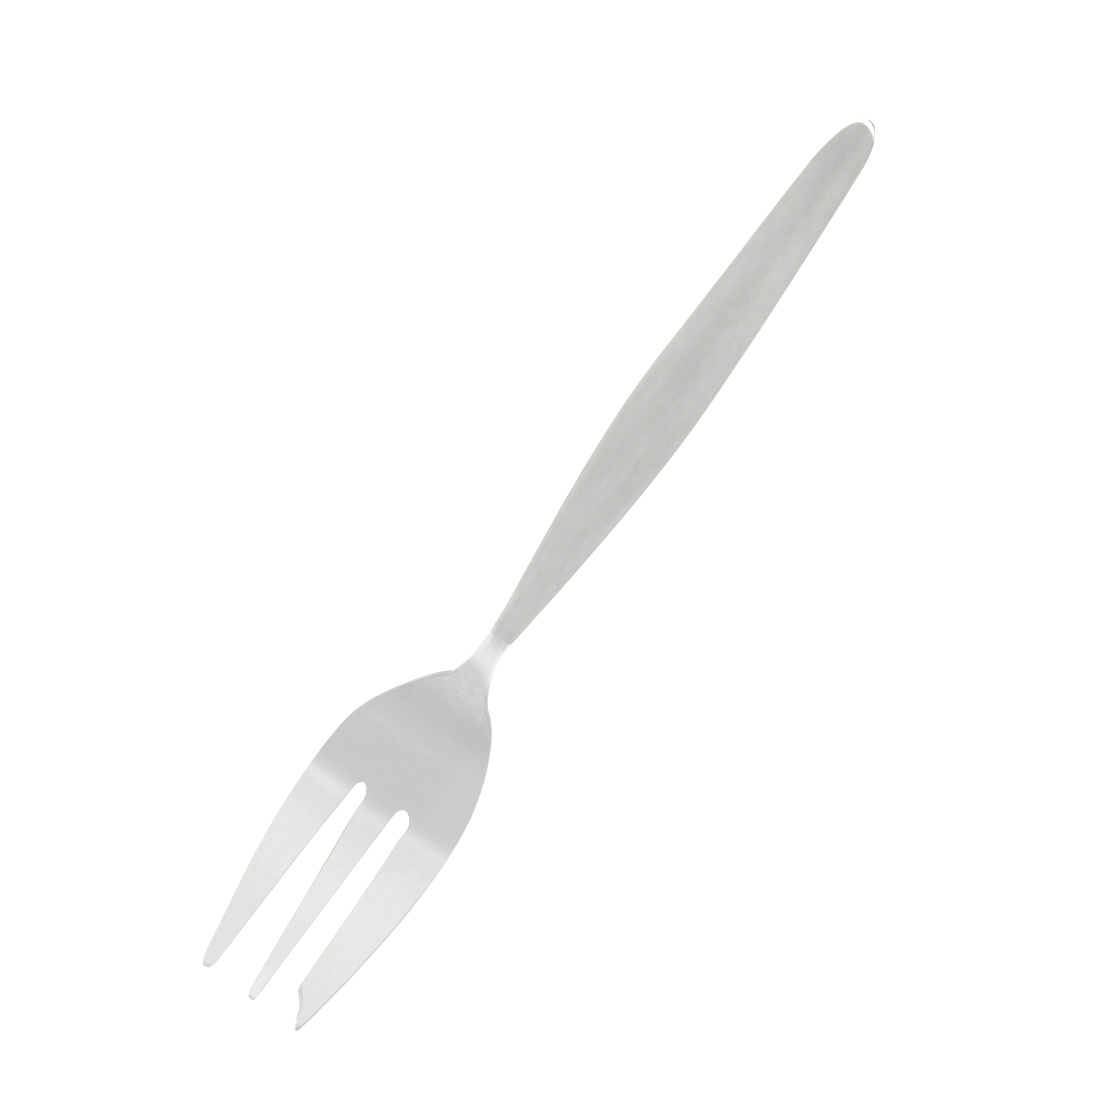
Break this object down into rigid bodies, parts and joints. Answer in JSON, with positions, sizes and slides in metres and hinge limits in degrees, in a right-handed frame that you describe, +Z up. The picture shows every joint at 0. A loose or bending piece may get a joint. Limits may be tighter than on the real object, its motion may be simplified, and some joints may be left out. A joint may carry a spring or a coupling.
{
  "type": "pastry fork",
  "caption": "Small fork with a satin hollow handle and polished tines, the outer one wide and notched for cutting.",
  "frame": {"origin": "on the table, under the middle of the fork's length and width", "axes": "+X runs from the handle end to the tine tips, +Y points to the wide cutting tine, +Z is up, with the tines curving upwards"},
  "size_m": [0.15, 0.0236, 0.0133],
  "materials": {
    "polished_steel": "polished",
    "satin_steel": "satin",
    "cast_filler": "matte"
  },
  "bodies": {
    "root": {"fork_head": "polished_steel", "handle_front_shell": "satin_steel", "handle_back_shell": "satin_steel", "handle_filler": "cast_filler"}
  },
  "joints": []
}
